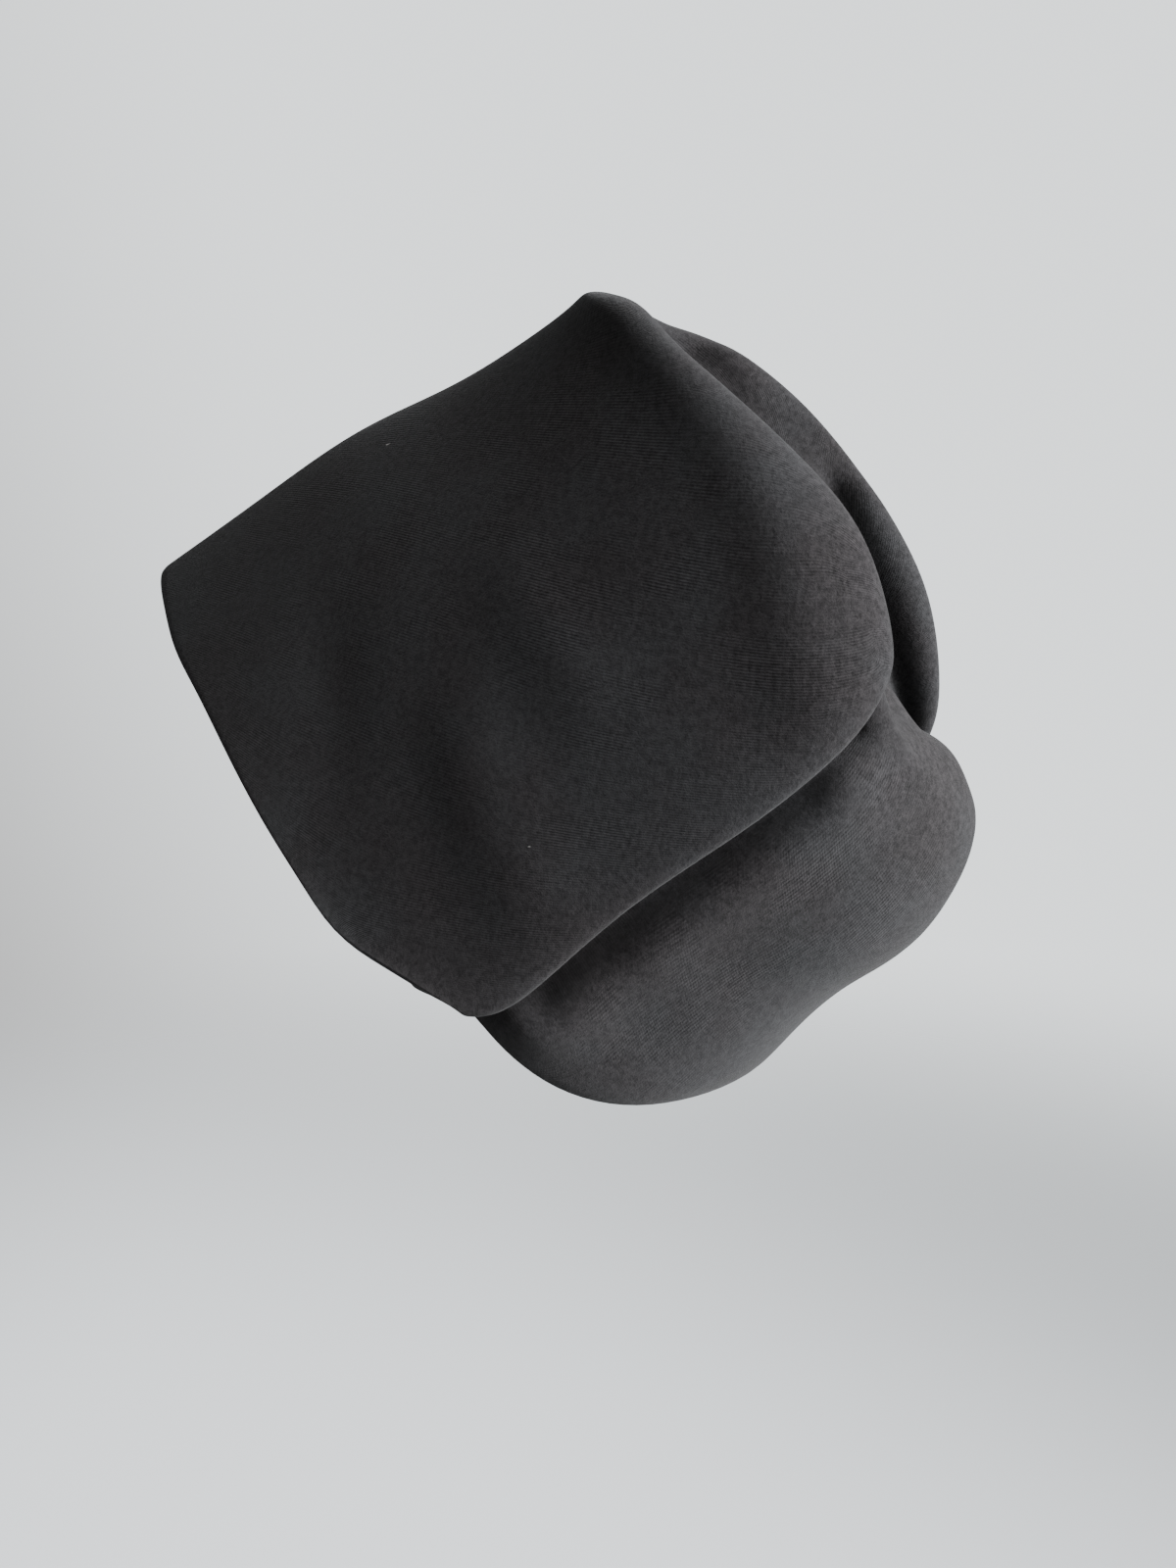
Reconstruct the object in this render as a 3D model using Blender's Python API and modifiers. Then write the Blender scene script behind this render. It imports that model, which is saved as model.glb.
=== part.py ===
import math

import bmesh
import bpy
from mathutils import Vector

# The cap is a wide bag of thick knit. It is laid out in a frame of its own before it is
# tilted: run goes from the opening's front corner towards the closed end, sink goes from the
# front fold across to the nape, and side is the half-breadth. The left half is lofted through
# closed loops, then mirrored.

# Driving sizes, in metres
CAP_LENGTH = 0.245
CAP_DEPTH = 0.272
CAP_WIDTH = 0.156
WALL = 0.003
CREST_RISE = 0.023
RIM_BOW = 0.016
NAPE_BOW = 0.011
CLEFT_DEPTH = 0.014
PLEAT_LAP = 0.022
PLEAT_GAP = 0.002
AXIS_TILT = math.radians(31)

# Shape of a loop: shares of its chord from the front fold to the nape
SIDE_BULGE = 0.69
LIP_TUCK = 0.05
BOW_SKEW = 1.5
BOW_REACH = 0.86
CREST_ONSET = 5
CREST_SLUMP = 0.5
CREST_SLUMP_POWER = 6
PINCH_SPREAD = 0.1
PINCH_SHIFT = 0.05
OPEN_FOLD_STEP = 0.02

# Where the wearer's crown bears: a place along the section table, and how far the smoothed
# fold comes out under its cage there
CROWN_PLACE = 2.7
FOLD_SETTLE = 0.0021

# Cage of the left half
RINGS_PER_SECTION = 2
PANEL_SHARES = (0.0, 0.035, 0.13, 0.28, 0.46, 0.64, 0.82)
NAPE_SHARES = (0.42, 0.78, 1.0)
SMOOTHING = 1
MERGE_DISTANCE = 0.0001

CLOTH_COLOUR = (0.021, 0.020, 0.022, 1.0)
CLOTH_ROUGHNESS = 0.93

# Loops from the opening to the seam in the middle of the closed end. The runs are shares of
# the cap's length, the sinks of its depth, and girth of half its width. Nose and tail are the
# powers of the curves at the front fold and the nape. Bow is a share of the rim's bow, rise
# of the crests' rise, and pinch of the cleft's depth. Lip is where on the chord the side panel
# ends, and lap how much of the pleat is folded there. Dip turns the pleat's layers from lying
# side by side to lying under each other.
SECTIONS = [
    {"front_run": -0.016, "front_sink": -0.020, "back_run": 0.486, "back_sink": 1.011,
     "girth": 1.00, "nose": 1.45, "bow": -1.00, "rise": 0.00,
     "lip": 0.798, "lap": 1.0, "pinch": 0.0, "tail": 2.1, "dip": 0.0},
    {"front_run": 0.208, "front_sink": -0.002, "back_run": 0.563, "back_sink": 0.998,
     "girth": 0.98, "nose": 1.50, "bow": -0.70, "rise": 0.00,
     "lip": 0.797, "lap": 1.0, "pinch": 0.0, "tail": 2.1, "dip": 0.0},
    {"front_run": 0.420, "front_sink": 0.033, "back_run": 0.678, "back_sink": 0.961,
     "girth": 0.93, "nose": 1.50, "bow": -0.40, "rise": 0.00,
     "lip": 0.795, "lap": 1.0, "pinch": 0.0, "tail": 2.0, "dip": 0.0},
    {"front_run": 0.629, "front_sink": 0.075, "back_run": 0.788, "back_sink": 0.956,
     "girth": 0.85, "nose": 1.60, "bow": -0.10, "rise": 0.10,
     "lip": 0.788, "lap": 1.0, "pinch": 0.0, "tail": 1.9, "dip": 0.0},
    {"front_run": 0.776, "front_sink": 0.101, "back_run": 0.857, "back_sink": 0.923,
     "girth": 0.75, "nose": 1.90, "bow": 0.00, "rise": 0.40,
     "lip": 0.780, "lap": 1.0, "pinch": 0.0, "tail": 1.8, "dip": 0.1},
    {"front_run": 0.837, "front_sink": 0.114, "back_run": 0.902, "back_sink": 0.881,
     "girth": 0.64, "nose": 2.40, "bow": 0.00, "rise": 0.82,
     "lip": 0.780, "lap": 1.0, "pinch": 0.0, "tail": 1.7, "dip": 0.4},
    {"front_run": 0.867, "front_sink": 0.154, "back_run": 0.927, "back_sink": 0.833,
     "girth": 0.54, "nose": 3.00, "bow": 0.00, "rise": 1.00,
     "lip": 0.784, "lap": 0.9, "pinch": 0.3, "tail": 1.6, "dip": 0.8},
    {"front_run": 0.843, "front_sink": 0.217, "back_run": 0.920, "back_sink": 0.787,
     "girth": 0.44, "nose": 3.40, "bow": 0.00, "rise": 1.00,
     "lip": 0.786, "lap": 0.6, "pinch": 0.8, "tail": 1.5, "dip": 1.0},
    {"front_run": 0.869, "front_sink": 0.305, "back_run": 0.886, "back_sink": 0.757,
     "girth": 0.29, "nose": 3.00, "bow": 0.00, "rise": 0.75,
     "lip": 0.784, "lap": 0.3, "pinch": 0.8, "tail": 1.5, "dip": 1.0},
    {"front_run": 0.922, "front_sink": 0.401, "back_run": 0.849, "back_sink": 0.732,
     "girth": 0.15, "nose": 2.60, "bow": 0.00, "rise": 0.25,
     "lip": 0.780, "lap": 0.0, "pinch": 0.6, "tail": 1.6, "dip": 1.0},
    {"front_run": 0.918, "front_sink": 0.456, "back_run": 0.816, "back_sink": 0.710,
     "girth": 0.07, "nose": 2.20, "bow": 0.00, "rise": -0.60,
     "lip": 0.775, "lap": 0.0, "pinch": 0.2, "tail": 1.8, "dip": 1.0},
    {"front_run": 0.873, "front_sink": 0.493, "back_run": 0.788, "back_sink": 0.688,
     "girth": 0.00, "nose": 2.00, "bow": 0.00, "rise": -0.70,
     "lip": 0.770, "lap": 0.0, "pinch": 0.0, "tail": 2.0, "dip": 1.0},
]


def clear_scene():
    for obj in list(bpy.data.objects):
        bpy.data.objects.remove(obj, do_unlink=True)


def section_at(place):
    """The loop's sizes at a place along the table, in rows, on one smooth curve."""
    row = min(int(place), len(SECTIONS) - 2)
    step = place - row
    before = SECTIONS[max(row - 1, 0)]
    start = SECTIONS[row]
    end = SECTIONS[row + 1]
    after = SECTIONS[min(row + 2, len(SECTIONS) - 1)]
    section = {}
    for name in start:
        slope_in = (end[name] - before[name]) / 2
        slope_out = (after[name] - start[name]) / 2
        change = end[name] - start[name]
        bend = 3 * change - 2 * slope_in - slope_out
        twist = slope_in + slope_out - 2 * change
        section[name] = start[name] + step * (slope_in + step * (bend + step * twist))
    return section


def panel_width(section, share):
    """Half-breadth of the side panel at a share of the chord."""
    full = section["girth"] * CAP_WIDTH / 2
    power = section["nose"]
    if share < SIDE_BULGE:
        ahead = 1 - share / SIDE_BULGE
        return full * (1 - ahead ** power) ** (1 / power)
    past = (share - SIDE_BULGE) / (section["lip"] - SIDE_BULGE)
    return full * (1 - LIP_TUCK * past * past)


def lift_at(section, share):
    """Height of the loop above its chord: the rim's bow, the crests and the pinched cleft."""
    bowed = min(share / BOW_REACH, 1.0) ** BOW_SKEW
    bow = RIM_BOW * section["bow"] * math.sin(math.pi * bowed)
    lip = section["lip"]
    across = max(share - lip, 0.0) / (1 - lip)
    bow += NAPE_BOW * section["bow"] * math.sin(math.pi * across)
    along = min(share / lip, 1.0)
    crest = 1 - (1 - along) ** CREST_ONSET
    crest *= 1 - CREST_SLUMP * along ** CREST_SLUMP_POWER
    rise = CREST_RISE * section["rise"] * crest * (1 - across) ** 2
    near = (share - lip - PINCH_SHIFT) / PINCH_SPREAD
    pinch = CLEFT_DEPTH * section["pinch"] * math.exp(-near * near)
    return bow + rise - pinch


def pleat_points(section, chord):
    """The S of cloth where the side panel laps over the nape: shares and depths under it."""
    layer = WALL + PLEAT_GAP
    turn = layer / 2
    folded = min(max(section["lap"], 0.0), 1.0)
    folds = [(-turn, 0.0), (0.0, 0.5), (-turn, 1.0), (turn - PLEAT_LAP, 1.0),
             (-PLEAT_LAP, 1.5), (turn - PLEAT_LAP, 2.0), (-turn, 2.0)]
    middle = len(folds) // 2
    points = []
    for index, (reach, depth) in enumerate(folds):
        opened = chord * OPEN_FOLD_STEP * (index - middle)
        along = folded * reach + (1 - folded) * opened
        points.append((section["lip"] + along / chord, folded * depth * layer))
    return points


def half_loop(section):
    """(side, run, sink) of the left half of one loop, from the front fold to the nape."""
    front = Vector((section["front_run"] * CAP_LENGTH, section["front_sink"] * CAP_DEPTH))
    back = Vector((section["back_run"] * CAP_LENGTH, section["back_sink"] * CAP_DEPTH))
    across = back - front
    chord = across.length
    across.normalize()
    up = Vector((across.y, -across.x))
    stacked = section["dip"] * math.pi / 2
    pleat = pleat_points(section, chord)
    stops = []
    for share in PANEL_SHARES:
        place = share * pleat[0][0]
        stops.append((place, panel_width(section, place), 0.0))
    for place, depth in pleat:
        width = panel_width(section, place) - depth * math.cos(stacked)
        stops.append((place, width, depth * math.sin(stacked)))
    start, width, drop = stops[-1]
    power = section["tail"]
    for share in NAPE_SHARES:
        place = start + share * (1 - start)
        side = width * (1 - share ** power) ** (1 / power)
        stops.append((place, side, drop * (1 - share) ** 2))
    loop = []
    for place, side, fall in stops:
        lift = lift_at(section, place) - fall
        point = front + across * (place * chord) + up * lift
        loop.append((side, point.x, point.y))
    return loop


def crown_seat():
    """(run, sink) of the world's origin: the inside of the front fold, on the wearer's crown."""
    side, run, sink = half_loop(section_at(CROWN_PLACE))[0]
    return run, sink + FOLD_SETTLE + WALL / 2


def tilted(side, run, sink, seat):
    """From the cap's own frame to the world, where the length rises to the back."""
    run -= seat[0]
    sink -= seat[1]
    y = run * math.cos(AXIS_TILT) + sink * math.sin(AXIS_TILT)
    z = run * math.sin(AXIS_TILT) - sink * math.cos(AXIS_TILT)
    return Vector((side, y, z))


def cap_cage():
    """Loft of the left half. Its last loop lies on the mirror's plane, so that the two halves
    close the end along one seam."""
    seat = crown_seat()
    bm = bmesh.new()
    rings = []
    for index in range((len(SECTIONS) - 1) * RINGS_PER_SECTION + 1):
        loop = half_loop(section_at(index / RINGS_PER_SECTION))
        rings.append([bm.verts.new(tilted(*point, seat)) for point in loop])
    for lower, upper in zip(rings, rings[1:]):
        for place in range(len(lower) - 1):
            bm.faces.new((lower[place], lower[place + 1], upper[place + 1], upper[place]))
    bmesh.ops.recalc_face_normals(bm, faces=bm.faces)
    mesh = bpy.data.meshes.new("cap_shell")
    bm.to_mesh(mesh)
    bm.free()
    mesh.shade_smooth()
    return mesh


def cloth_material():
    material = bpy.data.materials.new("black_knit")
    material.use_nodes = True
    shader = material.node_tree.nodes["Principled BSDF"]
    shader.inputs["Base Color"].default_value = CLOTH_COLOUR
    shader.inputs["Roughness"].default_value = CLOTH_ROUGHNESS
    shader.inputs["Metallic"].default_value = 0.0
    return material


def add_cap_shell(collection):
    shell = bpy.data.objects.new("cap_shell", cap_cage())
    collection.objects.link(shell)
    shell.data.materials.append(cloth_material())
    halves = shell.modifiers.new("halves", "MIRROR")
    halves.merge_threshold = MERGE_DISTANCE
    soft = shell.modifiers.new("soft_form", "SUBSURF")
    soft.levels = SMOOTHING
    soft.render_levels = SMOOTHING
    wall = shell.modifiers.new("wall", "SOLIDIFY")
    wall.thickness = WALL
    wall.offset = 0.0


def main():
    clear_scene()
    collection = bpy.data.collections.new("lined_cap")
    bpy.context.scene.collection.children.link(collection)
    add_cap_shell(collection)


main()
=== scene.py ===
import math

import bmesh
import bpy
import numpy as np
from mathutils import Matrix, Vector


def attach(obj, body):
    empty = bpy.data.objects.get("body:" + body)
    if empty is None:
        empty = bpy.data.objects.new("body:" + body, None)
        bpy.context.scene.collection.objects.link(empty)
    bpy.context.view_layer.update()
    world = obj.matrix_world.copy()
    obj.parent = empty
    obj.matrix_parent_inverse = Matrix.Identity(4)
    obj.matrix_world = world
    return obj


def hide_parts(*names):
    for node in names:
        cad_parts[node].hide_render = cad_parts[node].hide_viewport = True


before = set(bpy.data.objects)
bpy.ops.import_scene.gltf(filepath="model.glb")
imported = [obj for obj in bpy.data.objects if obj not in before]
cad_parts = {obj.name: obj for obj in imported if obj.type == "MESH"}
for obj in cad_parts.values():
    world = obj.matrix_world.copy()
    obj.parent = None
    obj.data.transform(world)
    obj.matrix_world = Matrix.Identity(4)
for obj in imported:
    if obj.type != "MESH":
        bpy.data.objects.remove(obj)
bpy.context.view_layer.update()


# camera, level with the cap and 28 degrees behind its left side
cameraView = {
    "place": (0.35124, 0.24183, -0.09138),
    "lookAt": (0.0, 0.05507, -0.13319),
    "lens": 27.0,
    "sensor": 36.0,
    "nearest": 0.01,
    "farthest": 30.0,
}


def pointAt(obj, place, target):
    obj.location = place
    look = Vector(target) - obj.location
    obj.rotation_euler = look.to_track_quat("-Z", "Y").to_euler()


def addCamera(view):
    data = bpy.data.cameras.new("photoView")
    data.lens = view["lens"]
    data.sensor_width = view["sensor"]
    data.clip_start = view["nearest"]
    data.clip_end = view["farthest"]
    data.dof.use_dof = False
    camera = bpy.data.objects.new("photoView", data)
    bpy.context.scene.collection.objects.link(camera)
    pointAt(camera, view["place"], view["lookAt"])
    bpy.context.scene.camera = camera


addCamera(cameraView)


# the cap's cloth, lofted as the solid is, then worked over and thickened; lengths in metres,
# the seat is the origin's run and sink
capCut = {
    "length": 0.245,
    "depth": 0.272,
    "width": 0.156,
    "wall": 0.003,
    "crestRise": 0.023,
    "rimBow": 0.016,
    "napeBow": 0.0194,
    "cleftDepth": 0.014,
    "pleatLap": 0.022,
    "pleatGap": 0.002,
    "tilt": math.radians(31),
    "sideBulge": 0.69,
    "lipTuck": 0.05,
    "bowSkew": 2.2781,
    "bowReach": 0.8356,
    "crestOnset": 1.84,
    "crestSlump": 0.44,
    "crestSlumpPower": 9.9,
    "pinchSpread": 0.1,
    "pinchShift": 0.05,
    "openFoldStep": 0.02,
    "seat": (0.139883, 0.020833),
    "ringsPerLoop": 2,
    "panelShares": (0.0, 0.035, 0.13, 0.28, 0.46, 0.64, 0.82),
    "napeShares": (0.42, 0.78, 1.0),
    "softLevels": 2,
    "wallLevels": 1,
    "sideBlend": 0.005,
    "napeMapMiddle": 0.4,
}

# loops from the opening to the closed end, shares of the length, depth and half width
loopColumns = (
    "frontRun", "frontSink", "backRun", "backSink", "girth", "nose", "bow",
    "rise", "lip", "lap", "pinch", "tail", "dip",
)
loopRows = [
    (-0.032, -0.022, 0.490, 1.000, 1.000, 1.45, -1.01, -0.01, 0.782, 1.0, 0.0, 1.79, 0.0),
    (0.193, 0.001, 0.543, 1.006, 0.948, 1.50, -1.40, -0.43, 0.783, 1.0, 0.0, 2.12, 0.0),
    (0.417, 0.025, 0.661, 0.968, 0.877, 1.50, -1.29, 0.21, 0.784, 1.0, 0.0, 2.00, 0.0),
    (0.605, 0.076, 0.779, 0.955, 0.805, 1.60, -0.67, 0.88, 0.778, 1.0, 0.0, 1.90, 0.0),
    (0.789, 0.102, 0.849, 0.923, 0.726, 1.90, -0.16, 1.12, 0.772, 1.0, 0.0, 1.83, 0.1),
    (0.828, 0.107, 0.902, 0.881, 0.641, 2.40, 0.00, 1.24, 0.772, 1.0, 0.0, 1.72, 0.4),
    (0.866, 0.155, 0.927, 0.834, 0.555, 3.00, 0.00, 1.19, 0.776, 0.9, 0.3, 1.98, 0.8),
    (0.844, 0.219, 0.936, 0.782, 0.469, 3.40, 0.00, 1.12, 0.780, 0.6, 0.8, 1.50, 1.0),
    (0.823, 0.284, 0.890, 0.730, 0.310, 3.40, 0.00, 0.89, 0.784, 0.3, 0.8, 1.50, 1.0),
    (0.845, 0.360, 0.837, 0.735, 0.200, 3.20, 0.00, 0.60, 0.780, 0.0, 0.6, 1.60, 1.0),
    (0.808, 0.412, 0.792, 0.713, 0.100, 2.60, 0.00, 0.10, 0.775, 0.0, 0.2, 1.80, 1.0),
    (0.751, 0.456, 0.743, 0.684, 0.000, 2.00, 0.00, -0.20, 0.770, 0.0, 0.0, 2.00, 1.0),
]
capLoops = [dict(zip(loopColumns, row)) for row in loopRows]

# the right side panel hangs lower over the nape than the left one
rightChanges = {
    3: {"lip": 0.855},
    4: {"lip": 0.844, "rise": 0.91},
    5: {"lip": 0.839, "rise": 0.94},
    6: {"lip": 0.871, "rise": 0.98},
    7: {"lip": 0.794, "rise": 0.67, "lap": 0.9},
    8: {"lip": 0.800, "lap": 0.6, "rise": 0.35},
    9: {"lip": 0.740},
    10: {"lip": 0.740},
}
rightCut = dict(capCut, crestOnset=7.52, crestSlump=1.25, crestSlumpPower=6.2)
rightLoops = [dict(row, **rightChanges.get(i, {})) for i, row in enumerate(capLoops)]

# the way each half lies along x, its sizes and its loops
capSides = ((1, capCut, capLoops), (-1, rightCut, rightLoops))


def loopAt(loops, place):
    # the sizes between two rows, on one smooth curve through the table
    row = min(int(place), len(loops) - 2)
    step = place - row
    before = loops[max(row - 1, 0)]
    start, end = loops[row], loops[row + 1]
    after = loops[min(row + 2, len(loops) - 1)]
    sizes = {}
    for name in start:
        slopeIn = (end[name] - before[name]) / 2
        slopeOut = (after[name] - start[name]) / 2
        change = end[name] - start[name]
        bend = 3 * change - 2 * slopeIn - slopeOut
        twist = slopeIn + slopeOut - 2 * change
        sizes[name] = start[name] + step * (slopeIn + step * (bend + step * twist))
    return sizes


def panelWidth(cut, sizes, share):
    full = sizes["girth"] * cut["width"] / 2
    if share < cut["sideBulge"]:
        ahead = 1 - share / cut["sideBulge"]
        return full * (1 - ahead ** sizes["nose"]) ** (1 / sizes["nose"])
    past = (share - cut["sideBulge"]) / (sizes["lip"] - cut["sideBulge"])
    return full * (1 - cut["lipTuck"] * past * past)


def liftAt(cut, sizes, share):
    bowed = min(share / cut["bowReach"], 1.0) ** cut["bowSkew"]
    bow = cut["rimBow"] * sizes["bow"] * math.sin(math.pi * bowed)
    lip = sizes["lip"]
    across = max(share - lip, 0.0) / (1 - lip)
    bow += cut["napeBow"] * sizes["bow"] * math.sin(math.pi * across)
    along = min(share / lip, 1.0)
    crest = 1 - (1 - along) ** cut["crestOnset"]
    crest *= 1 - cut["crestSlump"] * along ** cut["crestSlumpPower"]
    rise = cut["crestRise"] * sizes["rise"] * crest * (1 - across) ** 2
    near = (share - lip - cut["pinchShift"]) / cut["pinchSpread"]
    return bow + rise - cut["cleftDepth"] * sizes["pinch"] * math.exp(-near * near)


def pleatStops(cut, sizes, chord):
    # the S where the side panel laps over the nape panel
    layer = cut["wall"] + cut["pleatGap"]
    turn = layer / 2
    lap = cut["pleatLap"]
    folded = min(max(sizes["lap"], 0.0), 1.0)
    folds = [(-turn, 0.0), (0.0, 0.5), (-turn, 1.0), (turn - lap, 1.0),
             (-lap, 1.5), (turn - lap, 2.0), (-turn, 2.0)]
    stops = []
    for index, (reach, depth) in enumerate(folds):
        opened = chord * cut["openFoldStep"] * (index - len(folds) // 2)
        along = folded * reach + (1 - folded) * opened
        stops.append((sizes["lip"] + along / chord, folded * depth * layer))
    return stops


def halfLoop(cut, sizes):
    front = Vector((sizes["frontRun"] * cut["length"], sizes["frontSink"] * cut["depth"]))
    back = Vector((sizes["backRun"] * cut["length"], sizes["backSink"] * cut["depth"]))
    across = back - front
    chord = across.length
    across.normalize()
    up = Vector((across.y, -across.x))
    stacked = sizes["dip"] * math.pi / 2
    pleat = pleatStops(cut, sizes, chord)
    stops = []
    for share in cut["panelShares"]:
        place = share * pleat[0][0]
        stops.append((place, panelWidth(cut, sizes, place), 0.0))
    for place, depth in pleat:
        width = panelWidth(cut, sizes, place) - depth * math.cos(stacked)
        stops.append((place, width, depth * math.sin(stacked)))
    start, width, drop = stops[-1]
    for share in cut["napeShares"]:
        place = start + share * (1 - start)
        side = width * (1 - share ** sizes["tail"]) ** (1 / sizes["tail"])
        stops.append((place, side, drop * (1 - share) ** 2))
    loop = []
    for place, side, fall in stops:
        point = front + across * (place * chord) + up * (liftAt(cut, sizes, place) - fall)
        loop.append((side, point.x, point.y))
    return loop


def tilted(cut, side, run, sink):
    run -= cut["seat"][0]
    sink -= cut["seat"][1]
    slope, level = math.sin(cut["tilt"]), math.cos(cut["tilt"])
    return Vector((side, run * level + sink * slope, run * slope - sink * level))


def layClothMap(cut, rings):
    # metres of cloth: across from the front fold on the side, from the middle on the nape
    lastPanel = len(cut["panelShares"])
    firstNape = len(rings[0]) - len(cut["napeShares"]) - 1
    acrossAll = []
    for ring in rings:
        walk = [0.0]
        for a, b in zip(ring, ring[1:]):
            walk.append(walk[-1] + (b - a).length)
        row = []
        for index, here in enumerate(walk):
            fromNape = here - walk[-1] + cut["napeMapMiddle"]
            mix = min(max((index - lastPanel) / (firstNape - lastPanel), 0.0), 1.0)
            row.append(here * (1 - mix) + fromNape * mix)
        acrossAll.append(row)
    alongAll = [[0.0] * len(rings[0])]
    for lower, upper in zip(rings, rings[1:]):
        steps = [(b - a).length for a, b in zip(lower, upper)]
        alongAll.append([v + s for v, s in zip(alongAll[-1], steps)])
    return acrossAll, alongAll


def sideRings(cut, loops):
    count = (len(loops) - 1) * cut["ringsPerLoop"] + 1
    rings = []
    for index in range(count):
        loop = halfLoop(cut, loopAt(loops, index / cut["ringsPerLoop"]))
        rings.append([tilted(cut, *point) for point in loop])
    return rings


def clothCage(sides):
    # left half and right half lofted one after the other, sharing the middle's points
    bm = bmesh.new()
    mapLayer = bm.loops.layers.uv.new("clothMap")
    aroundLayer = bm.verts.layers.float.new("around")
    middle = {}
    for sign, cut, loops in sides:
        rings = sideRings(cut, loops)
        across, along = layClothMap(cut, rings)
        last = (len(rings) - 1, len(rings[0]) - 1)
        grid = []
        for i, ring in enumerate(rings):
            row = []
            for j, co in enumerate(ring):
                shared = j in (0, last[1]) or i == last[0]
                vert = middle.get((i, j)) if shared else None
                if vert is None:
                    vert = bm.verts.new((co.x * sign, co.y, co.z))
                    vert[aroundLayer] = j
                if shared:
                    middle[(i, j)] = vert
                row.append(vert)
            grid.append(row)
        for i in range(last[0]):
            for j in range(last[1]):
                corners = [(i, j), (i, j + 1), (i + 1, j + 1), (i + 1, j)]
                corners = corners[::sign]
                face = bm.faces.new([grid[a][b] for a, b in corners])
                for corner, (a, b) in zip(face.loops, corners):
                    corner[mapLayer].uv = (across[a][b], along[a][b])
    bmesh.ops.recalc_face_normals(bm, faces=bm.faces)
    mesh = bpy.data.meshes.new("capCloth")
    bm.to_mesh(mesh)
    bm.free()
    return mesh


def bakeModifiers(obj):
    graph = bpy.context.evaluated_depsgraph_get()
    made = bpy.data.meshes.new_from_object(
        obj.evaluated_get(graph), preserve_all_data_layers=True, depsgraph=graph)
    obj.modifiers.clear()
    old = obj.data
    obj.data = made
    bpy.data.meshes.remove(old)


def addSubdivision(obj, levels):
    soft = obj.modifiers.new("soft", "SUBSURF")
    soft.levels = levels
    soft.render_levels = levels


# pulls, millimetres: where, how far round it, and which way
# side is 1 left, -1 right, 0 both; "from" and "to" are the cage's points across the cloth,
# 0 at the front fold, 8 at the side panel's lip, 16 in the middle of the nape
pullColumns = ("side", "from", "to", "x", "y", "z", "reach", "dx", "dy", "dz")
clothPulls = [
    # the nape's tongue between the side lobes
    (1, 13, 16, 13, 150, -113, 11.5, 0.0, 3.0, 15.0),
    # a peak on the left crest near the top fold, and the right one lower beside it
    (1, 1, 4, 32, 88, 9, 15, 0.0, 0.5, 2.6),
    (-1, 0, 3, -11, 79, 19, 10, 0.0, -1.0, -1.6),
    # the rim's small waves
    (0, 0, 5, 40, -92, -86, 22, 0.0, -2.2, -0.5),
    (0, 4, 7, 72, 8, -174, 16, 0.0, -1.5, -2.6),
]

# ridges and hollows, millimetres: how wide, which way, and the route's (y, z) points
foldColumns = ("side", "from", "to", "width", "push", "route")
clothFolds = [
    # the right lobe's roll, the narrow groove inside it, and the hollow and swell at its top
    (-1, 3, 9, 5, (0.4, 0.9, 0.0), ((135, -38), (152, -68), (160, -106))),
    (-1, 3, 13, 4.5, (-5.5, -4.5, 0.0), ((129, -36), (143, -68), (150, -92), (157, -122))),
    (-1, 0, 2, 6, (-4.5, -5.0, -0.5), ((74, 14), (83, 9))),
    (-1, 1, 3, 7, (4.0, 0.0, 0.0), ((97, 9), (103, -1))),
    # the left side panel: three soft ridges and two hollows
    (1, 0, 7, 15, (1.8, 0.0, 0.0), ((50, -120), (72, -158))),
    (1, 0, 7, 13, (-0.8, 0.0, 0.0), ((28, -120), (48, -160))),
    (1, 0, 7, 12, (1.3, 0.0, 0.0), ((60, -70), (86, -100))),
    (1, 0, 7, 13, (2.3, 0.0, 0.0), ((108, 0), (128, -30), (142, -60), (152, -98))),
    (1, 0, 7, 14, (-1.3, 0.0, 0.0), ((-14, -88), (-3, -122))),
    # the nape: tucked in under the lip and full beside it, with the pleat's middle layer
    # close on it, then a valley and a crease
    (1, 13, 16, 5, (-9.0, -2.2, 1.0), ((71, -187), (106, -157), (146, -125), (157, -110))),
    (1, 13, 16, 13.5, (10.0, 2.4, -1.2), ((72, -192), (109, -160), (148, -129), (152, -124))),
    (1, 9, 10, 13, (1.5, 0.4, -0.2), ((56, -206), (109, -160), (149, -128), (158, -116))),
    (1, 13, 16, 9, (-1.6, -0.7, 0.5), ((126, -182), (142, -186))),
    (1, 13, 16, 8, (-0.9, -0.4, 0.3), ((94, -178), (100, -200))),
]


def routeGap(points, route):
    # distance of each (y, z) from a route of straight stretches
    nearest = np.full(len(points), np.inf)
    for start, end in zip(route, route[1:]):
        start, end = np.array(start) / 1000, np.array(end) / 1000
        away, reach = points - start, end - start
        along = np.clip(away @ reach / (reach @ reach), 0, 1)
        gap = np.linalg.norm(away - along[:, None] * reach, axis=1)
        nearest = np.minimum(nearest, gap)
    return nearest


def takenShare(row, co, around, blend):
    # how much of a row's move each point takes
    off = np.maximum(row["from"] - around, around - row["to"])
    taken = np.clip(1 - off, 0, 1)
    if row["side"]:
        taken = taken * np.clip(co[:, 0] * row["side"] / blend + 0.5, 0, 1)
    return taken


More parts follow.
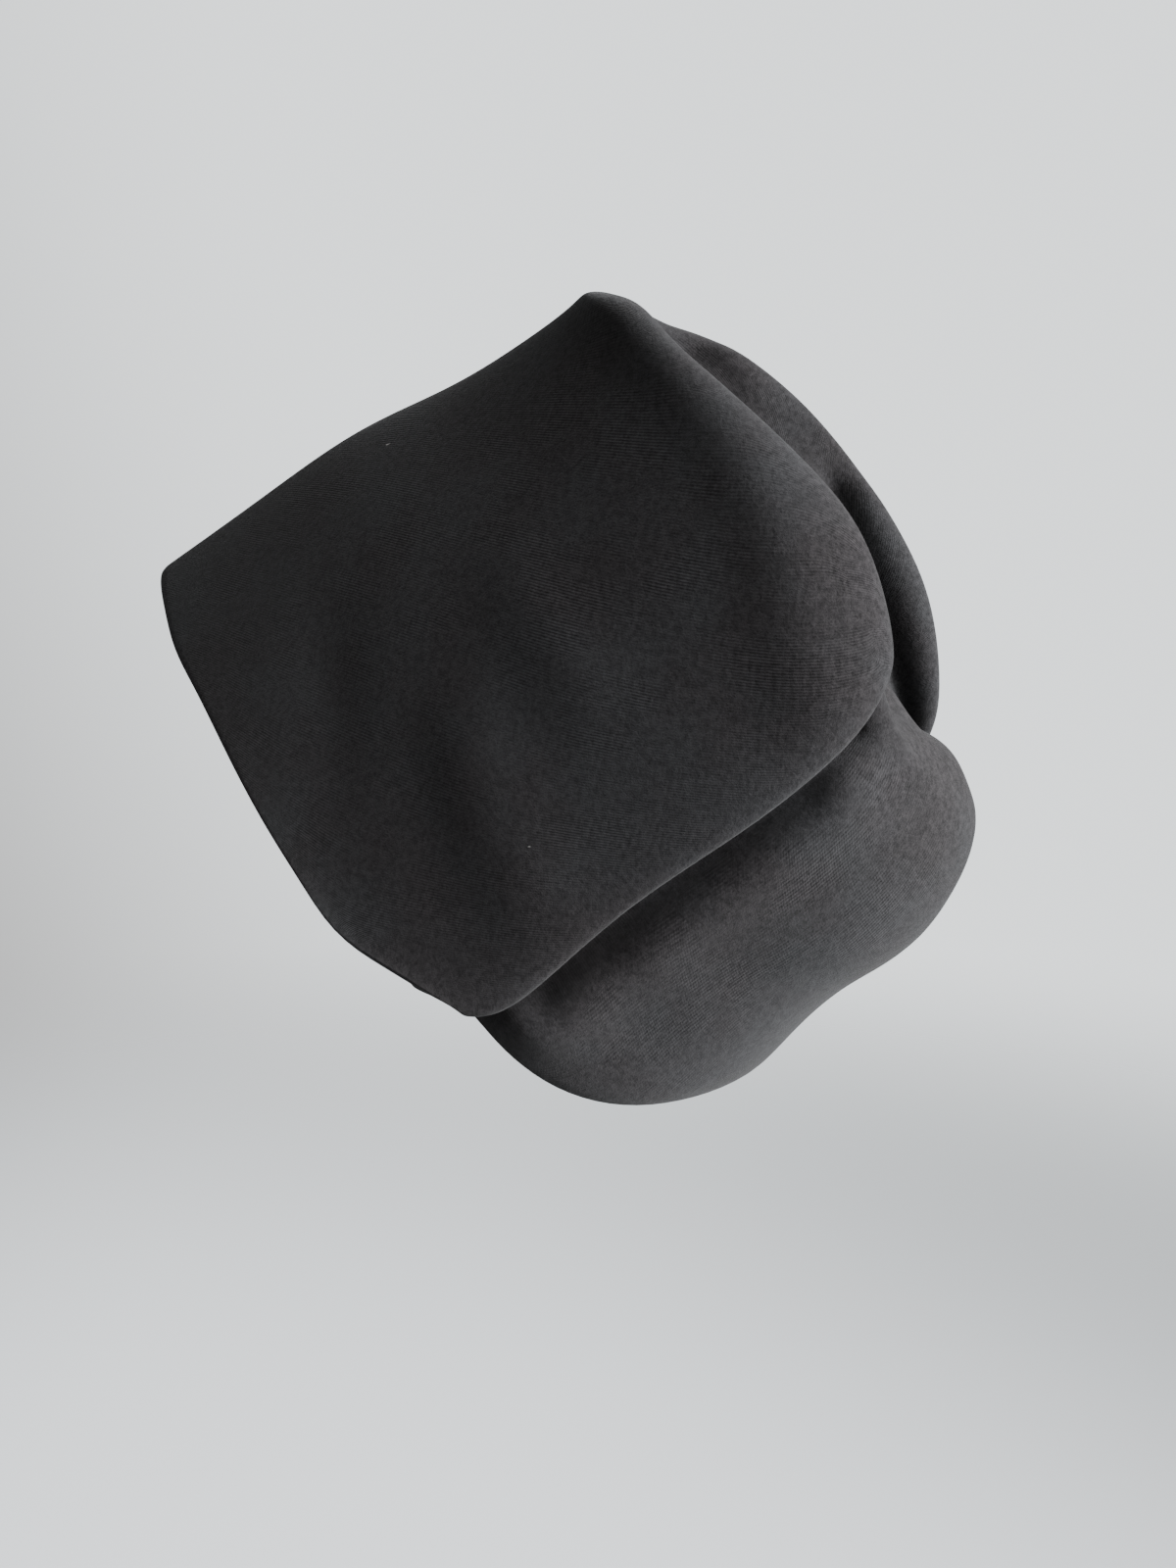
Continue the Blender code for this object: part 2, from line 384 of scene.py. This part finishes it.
def workCloth(mesh, blend):
    count = len(mesh.vertices)
    co = np.empty(count * 3)
    mesh.vertices.foreach_get("co", co)
    co = co.reshape(-1, 3)
    around = np.empty(count)
    mesh.attributes["around"].data.foreach_get("value", around)
    for line in clothPulls:
        row = dict(zip(pullColumns, line))
        centre = np.array([row["x"], row["y"], row["z"]]) / 1000
        move = np.array([row["dx"], row["dy"], row["dz"]]) / 1000
        far = np.linalg.norm(co - centre, axis=1) / (row["reach"] / 1000)
        taken = takenShare(row, co, around, blend) * np.exp(-far * far)
        co += taken[:, None] * move
    moved = np.zeros_like(co)
    for line in clothFolds:
        row = dict(zip(foldColumns, line))
        gap = routeGap(co[:, 1:], row["route"]) / (row["width"] / 1000)
        taken = takenShare(row, co, around, blend) * np.exp(-gap * gap)
        moved += taken[:, None] * np.array(row["push"]) / 1000
    co += moved
    mesh.vertices.foreach_set("co", co.ravel())
    mesh.update()


def buildCloth(cut, sides):
    cloth = bpy.data.objects.new("capCloth", clothCage(sides))
    bpy.context.scene.collection.objects.link(cloth)
    addSubdivision(cloth, cut["softLevels"])
    bakeModifiers(cloth)
    workCloth(cloth.data, cut["sideBlend"])
    wall = cloth.modifiers.new("wall", "SOLIDIFY")
    wall.thickness = cut["wall"]
    wall.offset = 0.0
    addSubdivision(cloth, cut["wallLevels"])
    bakeModifiers(cloth)
    cloth.data.shade_smooth()
    cloth.data.name = "capCloth"
    print("cloth", len(cloth.data.polygons), "faces")
    return cloth


cloth = buildCloth(capCut, capSides)


# node helpers
def addNode(tree, kind, place, **values):
    node = tree.nodes.new(kind)
    node.location = place
    for name, value in values.items():
        setattr(node, name, value)
    return node


def feed(tree, socket, value):
    # a link from another node's output, or a plain value
    if isinstance(value, bpy.types.NodeSocket):
        tree.links.new(value, socket)
    else:
        socket.default_value = value


def mathNode(tree, operation, place, *values):
    node = addNode(tree, "ShaderNodeMath", place, operation=operation)
    for index, value in enumerate(values):
        feed(tree, node.inputs[index], value)
    return node.outputs[0]


def mixNode(tree, place, factor, first, second, blend="MIX"):
    node = addNode(tree, "ShaderNodeMix", place, data_type="RGBA", blend_type=blend)
    for name, value in (("Factor", factor), ("A", first), ("B", second)):
        feed(tree, node.inputs[name], value)
    return node.outputs["Result"]


def rampNode(tree, place, source, low, high, lowOut=0.0, highOut=1.0):
    node = addNode(tree, "ShaderNodeMapRange", place, interpolation_type="SMOOTHSTEP")
    tree.links.new(source, node.inputs["Value"])
    for name, value in (("From Min", low), ("From Max", high),
                        ("To Min", lowOut), ("To Max", highOut)):
        node.inputs[name].default_value = value
    return node.outputs["Result"]


def noiseNode(tree, place, source, scale, detail, rough):
    node = addNode(tree, "ShaderNodeTexNoise", place)
    tree.links.new(source, node.inputs["Vector"])
    node.inputs["Scale"].default_value = scale
    node.inputs["Detail"].default_value = detail
    node.inputs["Roughness"].default_value = rough
    return node.outputs["Fac"]


def newGroup(name, outputs):
    group = bpy.data.node_groups.new(name, "ShaderNodeTree")
    for label in outputs:
        group.interface.new_socket(label, in_out="OUTPUT", socket_type="NodeSocketFloat")
    return group, addNode(group, "NodeGroupOutput", (900, 0))


# pitches in metres; the runs say how much of the ribs' phase comes from across and from along
# the cloth, on the sides and on the nape, whose cloth lies on another grain
knit = {
    "ribPitch": 0.00112,
    "coursePitch": 0.00085,
    "courseShare": 0.45,
    "wander": 1.1,
    "sway": {"scale": 120.0, "detail": 3.0, "rough": 0.6},
    "sideRun": (0.61, -0.80),
    "napeRun": (0.97, -0.22),
    "turnFrom": 0.285,
    "turnTo": 0.315,
    "patches": {"scale": 42.0, "detail": 2.0, "rough": 0.6},
    "wornFrom": 0.40,
    "bareFrom": 0.68,
    "wornRibs": 0.15,
    "shadeReach": 1.45,
}


def knitGroup(settings):
    # fine slanting ribs, with the stitches' courses across them; the height is their relief,
    # and the second output paints their shading into the colour, darker in the grooves and
    # lighter on the crests
    group, out = newGroup("knitRelief", ("Height", "PaintedRibShade"))
    uv = addNode(group, "ShaderNodeUVMap", (-1100, 0), uv_map="clothMap")
    parts = addNode(group, "ShaderNodeSeparateXYZ", (-900, 0))
    group.links.new(uv.outputs["UV"], parts.inputs[0])
    sway = noiseNode(group, (-900, -250), uv.outputs["UV"], **settings["sway"])
    runs = []
    for index, (side, nape) in enumerate(zip(settings["sideRun"], settings["napeRun"])):
        level = 420 - 160 * index
        share = rampNode(group, (-1080, level), parts.outputs[0], settings["turnFrom"],
                         settings["turnTo"], side, nape)
        runs.append(mathNode(group, "MULTIPLY", (-880, level), parts.outputs[index], share))
    across = mathNode(group, "ADD", (-700, 340), *runs)
    across = mathNode(group, "MULTIPLY", (-700, 100), across,
                      2 * math.pi / settings["ribPitch"])
    shift = mathNode(group, "MULTIPLY", (-700, -250), sway, settings["wander"] * math.pi)
    across = mathNode(group, "ADD", (-520, 100), across, shift)
    ribs = mathNode(group, "SINE", (-340, 100), across)
    along = mathNode(group, "MULTIPLY", (-700, -80), parts.outputs[1],
                     2 * math.pi / settings["coursePitch"])
    lean = mathNode(group, "ADD", (-520, -80), along, across)
    courses = mathNode(group, "SINE", (-340, -80), lean)
    crossed = mathNode(group, "MULTIPLY", (-160, -80), courses, settings["courseShare"])
    both = mathNode(group, "ADD", (20, 60), ribs, crossed)
    # worn-in places, where the nap has covered the ribs
    patches = noiseNode(group, (-340, -380), uv.outputs["UV"], **settings["patches"])
    bare = rampNode(group, (-160, -380), patches, settings["wornFrom"], settings["bareFrom"],
                    settings["wornRibs"], 1.0)
    both = mathNode(group, "MULTIPLY", (200, 60), both, bare)
    # painted shade of the ribs: their height turned into a colour share, darker in the
    # grooves and lighter on the crests
    shade = rampNode(group, (380, -120), both, -settings["shadeReach"],
                     settings["shadeReach"])
    group.links.new(both, out.inputs["Height"])
    group.links.new(shade, out.inputs["PaintedRibShade"])
    return group


# the nap: fibres under a millimetre, tufts of about two, slow drift over centimetres
napColumns = ("name", "scale", "detail", "rough", "low", "high")
napLayers = [
    ("Fibre", 1500.0, 4.0, 0.75, 0.30, 0.70),
    ("Tuft", 500.0, 4.0, 0.65, 0.32, 0.68),
    ("Drift", 22.0, 3.0, 0.55, 0.35, 0.65),
]


def napGroup(layers):
    rows = [dict(zip(napColumns, line)) for line in layers]
    group, out = newGroup("napMottle", [row["name"] for row in rows])
    place = addNode(group, "ShaderNodeTexCoord", (-700, 0))
    for index, row in enumerate(rows):
        level = 200 - 200 * index
        noise = noiseNode(group, (-400, level), place.outputs["Object"], row["scale"],
                          row["detail"], row["rough"])
        spread = rampNode(group, (-150, level), noise, row["low"], row["high"])
        group.links.new(spread, out.inputs[row["name"]])
    return group


# pale specks and short fibres: cells stretched and bent, few of them kept, each one's middle
lint = {
    "bendScale": 160.0,
    "bend": 0.0035,
    "turn": (0.5, 0.4, 0.9),
    "stretch": (1.0, 0.45, 1.9),
    "cellScale": 52.0,
    "keptFrom": 0.64,
    "keptTo": 0.65,
    "core": 0.014,
    "edge": 0.038,
}


def lintGroup(settings):
    group, out = newGroup("lintSpecks", ("Mask",))
    place = addNode(group, "ShaderNodeTexCoord", (-1100, 0))
    bend = addNode(group, "ShaderNodeTexNoise", (-1100, -250))
    bend.inputs["Scale"].default_value = settings["bendScale"]
    group.links.new(place.outputs["Object"], bend.inputs["Vector"])
    mixed = addNode(group, "ShaderNodeMix", (-900, 0), data_type="VECTOR")
    mixed.inputs["Factor"].default_value = settings["bend"]
    group.links.new(place.outputs["Object"], mixed.inputs["A"])
    group.links.new(bend.outputs["Color"], mixed.inputs["B"])
    stretch = addNode(group, "ShaderNodeMapping", (-720, 0))
    stretch.inputs["Rotation"].default_value = settings["turn"]
    stretch.inputs["Scale"].default_value = settings["stretch"]
    group.links.new(mixed.outputs["Result"], stretch.inputs["Vector"])
    cells = addNode(group, "ShaderNodeTexVoronoi", (-520, 0))
    cells.inputs["Scale"].default_value = settings["cellScale"]
    group.links.new(stretch.outputs[0], cells.inputs["Vector"])
    split = addNode(group, "ShaderNodeSeparateColor", (-320, -120))
    group.links.new(cells.outputs["Color"], split.inputs[0])
    kept = rampNode(group, (-140, -120), split.outputs[0], settings["keptFrom"],
                    settings["keptTo"])
    spot = rampNode(group, (-140, 80), cells.outputs["Distance"], settings["core"],
                    settings["edge"], 1.0, 0.0)
    mask = mathNode(group, "MULTIPLY", (60, 0), kept, spot)
    group.links.new(mask, out.inputs["Mask"])
    return group


clothLook = {
    "dark": (0.0012, 0.0012, 0.0012, 1.0),
    "light": (0.0178, 0.0172, 0.0176, 1.0),
    "warm": (1.045, 0.99, 0.995, 1.0),
    "cool": (0.975, 1.00, 1.015, 1.0),
    "lint": (0.26, 0.25, 0.24, 1.0),
    "roughness": 0.93,
    "specular": 0.03,
    "sheen": 0.03,
    "sheenRoughness": 0.5,
    # shares of the colour: the painted rib shade, then the nap's random fibre, tuft and drift
    # tone
    "tone": {"PaintedRibShade": 0.26, "Fibre": 0.30, "Tuft": 0.31, "Drift": 0.13},
    "relief": {"Height": 0.00004, "Fibre": 0.00007, "Tuft": 0.00007},
}


def weighted(tree, x, y, sockets, weights):
    # sum of the named sockets, each times its weight
    total = None
    for index, (name, weight) in enumerate(weights.items()):
        level = y - 140 * index
        term = mathNode(tree, "MULTIPLY", (x, level), sockets[name], weight)
        total = mathNode(tree, "ADD", (x + 170, level), total, term) if index else term
    return total


def clothMaterial(look):
    material = bpy.data.materials.new("blackKnit")
    material.use_nodes = True
    tree = material.node_tree
    shader = tree.nodes["Principled BSDF"]
    shader.location = (900, 0)
    sockets = {}
    for index, group in enumerate((knitGroup(knit), napGroup(napLayers), lintGroup(lint))):
        node = addNode(tree, "ShaderNodeGroup", (-900, 200 - 250 * index), node_tree=group)
        sockets.update((out.name, out) for out in node.outputs)
    # the colour: painted rib shade mixed with the nap's random mottle and slow drift
    tone = weighted(tree, -650, 300, sockets, look["tone"])
    base = mixNode(tree, (-150, 260), tone, look["dark"], look["light"])
    hue = mixNode(tree, (-150, 20), sockets["Drift"], look["warm"], look["cool"])
    tinted = mixNode(tree, (60, 160), 1.0, base, hue, "MULTIPLY")
    specked = mixNode(tree, (260, 160), sockets["Mask"], tinted, look["lint"])
    tree.links.new(specked, shader.inputs["Base Color"])
    shader.inputs["Roughness"].default_value = look["roughness"]
    shader.inputs["Specular IOR Level"].default_value = look["specular"]
    shader.inputs["Sheen Weight"].default_value = look["sheen"]
    shader.inputs["Sheen Roughness"].default_value = look["sheenRoughness"]
    relief = weighted(tree, -650, -450, sockets, look["relief"])
    bump = addNode(tree, "ShaderNodeBump", (200, -350))
    bump.inputs["Distance"].default_value = 1.0  # the relief is in metres
    tree.links.new(relief, bump.inputs["Height"])
    tree.links.new(bump.outputs["Normal"], shader.inputs["Normal"])
    return material


cloth.data.materials.clear()
cloth.data.materials.append(clothMaterial(clothLook))
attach(cloth, "root")
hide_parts("cap_shell")
print("cap dressed")


# plain studio: pale behind and to the right, dim on the camera's side
studio = {
    "floorHeight": -0.62,
    "floorRadius": 4.0,
    "floorSides": 64,
    "floorRoughness": 0.8,
    "floorFade": 0.5,
    "floorGone": 1.9,
    "floorColor": (0.48, 0.49, 0.50, 1.0),
    "paleColor": (0.71, 0.74, 0.755, 1.0),
    "dimColor": (0.212, 0.207, 0.205, 1.0),
    "strength": 2.2,
    "paleSide": (-0.84, 0.46, 0.34),
    "paleFrom": -0.20,
    "paleTo": 0.45,
}
studioLights = [
    {"name": "windowSide", "place": (0.15, 1.38, 0.22), "size": 0.9, "watts": 31.0,
     "spread": 60.0, "color": (0.965, 0.98, 1.0)},
]


def addFloor(settings):
    bm = bmesh.new()
    bmesh.ops.create_circle(bm, cap_ends=True, segments=settings["floorSides"],
                            radius=settings["floorRadius"])
    mesh = bpy.data.meshes.new("studioFloor")
    bm.to_mesh(mesh)
    bm.free()
    floor = bpy.data.objects.new("studioFloor", mesh)
    floor.location = (0.0, 0.0, settings["floorHeight"])
    bpy.context.scene.collection.objects.link(floor)
    material = bpy.data.materials.new("paleFloor")
    material.use_nodes = True
    tree = material.node_tree
    shader = tree.nodes["Principled BSDF"]
    shader.inputs["Base Color"].default_value = settings["floorColor"]
    shader.inputs["Roughness"].default_value = settings["floorRoughness"]
    # thins out away from the cap, so that no hard horizon shows
    place = addNode(tree, "ShaderNodeTexCoord", (-700, 0))
    far = addNode(tree, "ShaderNodeVectorMath", (-500, 0), operation="LENGTH")
    tree.links.new(place.outputs["Object"], far.inputs[0])
    thin = rampNode(tree, (-300, 0), far.outputs["Value"], settings["floorFade"],
                    settings["floorGone"], 1.0, 0.0)
    tree.links.new(thin, shader.inputs["Alpha"])
    mesh.materials.append(material)


def addLights(rows, target):
    for row in rows:
        data = bpy.data.lights.new(row["name"], "AREA")
        data.shape = "DISK"
        data.size = row["size"]
        data.energy = row["watts"]
        data.spread = math.radians(row["spread"])
        data.color = row["color"]
        lamp = bpy.data.objects.new(row["name"], data)
        bpy.context.scene.collection.objects.link(lamp)
        pointAt(lamp, row["place"], target)


def addWorld(settings):
    world = bpy.data.worlds.new("studioWorld")
    world.use_nodes = True
    tree = world.node_tree
    shade = tree.nodes["Background"]
    place = addNode(tree, "ShaderNodeTexCoord", (-900, 0))
    toward = addNode(tree, "ShaderNodeVectorMath", (-700, 0), operation="DOT_PRODUCT")
    toward.inputs[1].default_value = Vector(settings["paleSide"]).normalized()
    tree.links.new(place.outputs["Generated"], toward.inputs[0])
    pale = rampNode(tree, (-500, 0), toward.outputs["Value"], settings["paleFrom"],
                    settings["paleTo"])
    mixed = mixNode(tree, (-250, 0), pale, settings["dimColor"], settings["paleColor"])
    tree.links.new(mixed, shade.inputs["Color"])
    shade.inputs["Strength"].default_value = settings["strength"]
    bpy.context.scene.world = world


addFloor(studio)
addLights(studioLights, cameraView["lookAt"])
addWorld(studio)
